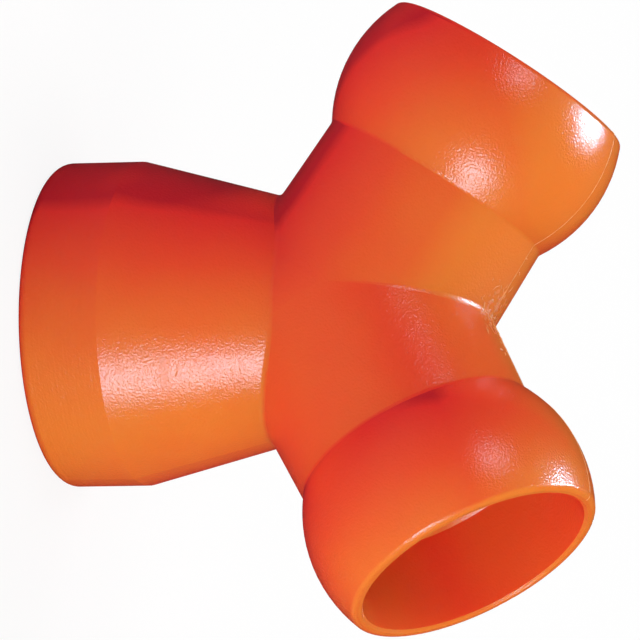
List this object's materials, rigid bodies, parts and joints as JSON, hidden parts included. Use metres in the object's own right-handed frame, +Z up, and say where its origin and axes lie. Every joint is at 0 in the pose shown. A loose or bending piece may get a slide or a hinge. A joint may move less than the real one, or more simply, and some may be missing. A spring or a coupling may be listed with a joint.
{
  "type": "tubing y connector",
  "caption": "Moulded hollow Y fitting for ball-and-socket hose: a flared socket leg divides into angled arms that end in open snap balls.",
  "frame": {"origin": "centre of the socket's flat rim, on the surface that the fitting stands on", "axes": "+Z up the main axis from the socket to the hub; both arms lie in the XZ plane, with the right arm toward +X and the left arm toward -X"},
  "size_m": [0.0706, 0.036, 0.0617],
  "materials": {
    "body": "satin orange moulded acetal with a fine spark-eroded texture"
  },
  "bodies": {
    "root": {"y_connector": "body"}
  },
  "joints": []
}
